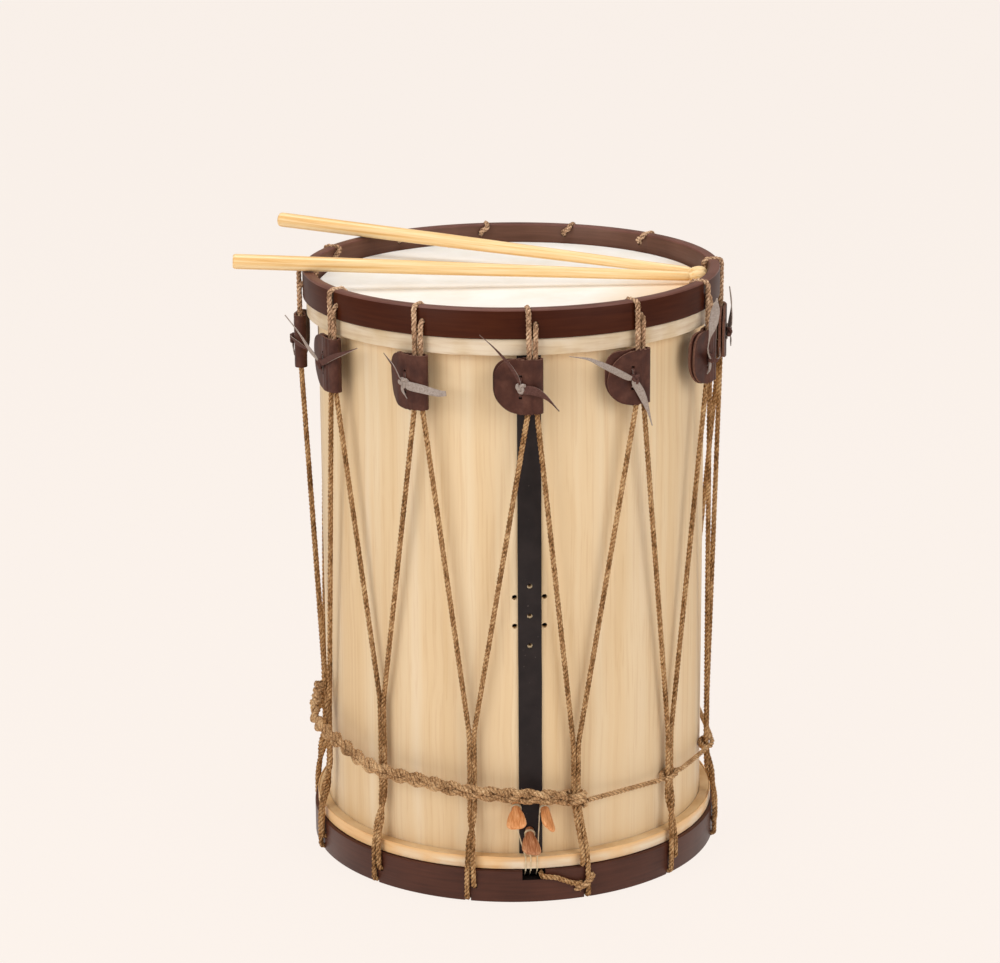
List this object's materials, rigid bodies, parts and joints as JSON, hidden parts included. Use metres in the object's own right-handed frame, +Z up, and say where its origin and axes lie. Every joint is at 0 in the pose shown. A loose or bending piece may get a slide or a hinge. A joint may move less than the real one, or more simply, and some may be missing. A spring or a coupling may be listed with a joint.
{
  "type": "renaissance drum",
  "caption": "Tall rope-tensioned wooden side drum with dark hoops, skin heads, leather tugs, gut snares on pegs, a plaited rope drag and a pair of sticks.",
  "frame": {"origin": "on the floor, in the middle of the box that holds the drum and its sticks; the drum's axis stands 19.6 mm from it towards +X and 0.6 mm towards +Y", "axes": "+Z up along the drum's axis, -Y to the front, where the seam strip and the snare pegs are"},
  "size_m": [0.4156, 0.3772, 0.5133],
  "materials": {
    "shell_wood": "satin oiled",
    "strip_leather": "matte black",
    "drum_skin": "matte translucent",
    "flesh_wood": "bare",
    "hoop_wood": "dark stain, satin",
    "jute": "twisted fibre",
    "tug_leather": "smooth brown",
    "lace_leather": "soft suede",
    "peg_wood": "oiled",
    "gut": "translucent",
    "stick_wood": "smooth satin"
  },
  "bodies": {
    "drum": {"shell": "shell_wood", "seam_strip": "strip_leather", "batter_skin": "drum_skin", "top_flesh_hoop": "flesh_wood", "snare_skin": "drum_skin", "bottom_flesh_hoop": "flesh_wood", "top_counterhoop": "hoop_wood", "bottom_counterhoop": "hoop_wood", "tension_rope": "jute", "belt_rope": "jute", "plaited_drag": "jute", "snare_gut_left": "gut", "snare_gut_right": "gut", "snare_gut_lower": "gut"},
    "tug_01": {"tug_01": "tug_leather", "lace_01": "lace_leather"},
    "tug_02": {"tug_02": "tug_leather", "lace_02": "lace_leather"},
    "tug_03": {"tug_03": "tug_leather", "lace_03": "lace_leather"},
    "tug_04": {"tug_04": "tug_leather", "lace_04": "lace_leather"},
    "tug_05": {"tug_05": "tug_leather", "lace_05": "lace_leather"},
    "tug_06": {"tug_06": "tug_leather", "lace_06": "lace_leather"},
    "tug_07": {"tug_07": "tug_leather", "lace_07": "lace_leather"},
    "tug_08": {"tug_08": "tug_leather", "lace_08": "lace_leather"},
    "tug_09": {"tug_09": "tug_leather", "lace_09": "lace_leather"},
    "tug_10": {"tug_10": "tug_leather", "lace_10": "lace_leather"},
    "tug_11": {"tug_11": "tug_leather", "lace_11": "lace_leather"},
    "tug_12": {"tug_12": "tug_leather", "lace_12": "lace_leather"},
    "snare_peg_left": {"snare_peg_left": "peg_wood"},
    "snare_peg_right": {"snare_peg_right": "peg_wood"},
    "snare_peg_lower": {"snare_peg_lower": "peg_wood"},
    "drumstick_front": {"drumstick_front": "stick_wood"},
    "drumstick_rear": {"drumstick_rear": "stick_wood"}
  },
  "joints": [
    {"name": "tug_01_slide", "type": "slide", "parent": "drum", "child": "tug_01", "axis": [0, 0, -1], "range_m": [0, 0.04], "deforming": ["tension_rope"]},
    {"name": "tug_02_slide", "type": "slide", "parent": "drum", "child": "tug_02", "axis": [0, 0, -1], "range_m": [0, 0.04], "deforming": ["tension_rope"]},
    {"name": "tug_03_slide", "type": "slide", "parent": "drum", "child": "tug_03", "axis": [0, 0, -1], "range_m": [0, 0.04], "deforming": ["tension_rope"]},
    {"name": "tug_04_slide", "type": "slide", "parent": "drum", "child": "tug_04", "axis": [0, 0, -1], "range_m": [0, 0.04], "deforming": ["tension_rope"]},
    {"name": "tug_05_slide", "type": "slide", "parent": "drum", "child": "tug_05", "axis": [0, 0, -1], "range_m": [0, 0.04], "deforming": ["tension_rope"]},
    {"name": "tug_06_slide", "type": "slide", "parent": "drum", "child": "tug_06", "axis": [0, 0, -1], "range_m": [0, 0.04], "deforming": ["tension_rope"]},
    {"name": "tug_07_slide", "type": "slide", "parent": "drum", "child": "tug_07", "axis": [0, 0, -1], "range_m": [0, 0.04], "deforming": ["tension_rope"]},
    {"name": "tug_08_slide", "type": "slide", "parent": "drum", "child": "tug_08", "axis": [0, 0, -1], "range_m": [0, 0.04], "deforming": ["tension_rope"]},
    {"name": "tug_09_slide", "type": "slide", "parent": "drum", "child": "tug_09", "axis": [0, 0, -1], "range_m": [0, 0.04], "deforming": ["tension_rope"]},
    {"name": "tug_10_slide", "type": "slide", "parent": "drum", "child": "tug_10", "axis": [0, 0, -1], "range_m": [0, 0.04], "deforming": ["tension_rope"]},
    {"name": "tug_11_slide", "type": "slide", "parent": "drum", "child": "tug_11", "axis": [0, 0, -1], "range_m": [0, 0.04], "deforming": ["tension_rope"]},
    {"name": "tug_12_slide", "type": "slide", "parent": "drum", "child": "tug_12", "axis": [0, 0, -1], "range_m": [0, 0.04], "deforming": ["tension_rope"]},
    {"name": "snare_peg_left_turn", "type": "hinge", "parent": "drum", "child": "snare_peg_left", "pos_m": [0.02048, -0.1597, 0.0818], "axis": [0.0049, -0.9397, -0.342], "continuous": true},
    {"name": "snare_peg_right_turn", "type": "hinge", "parent": "drum", "child": "snare_peg_right", "pos_m": [0.04306, -0.15798, 0.0805], "axis": [0.1373, -0.9296, -0.342], "continuous": true},
    {"name": "snare_peg_lower_turn", "type": "hinge", "parent": "drum", "child": "snare_peg_lower", "pos_m": [0.03111, -0.15929, 0.0592], "axis": [0.0672, -0.9373, -0.342], "continuous": true},
    {"name": "drumstick_front_lift", "type": "slide", "parent": "drum", "child": "drumstick_front", "axis": [0, 0, 1], "range_m": [0, 0.25]},
    {"name": "drumstick_rear_lift", "type": "slide", "parent": "drum", "child": "drumstick_rear", "axis": [0, 0, 1], "range_m": [0, 0.25]}
  ]
}
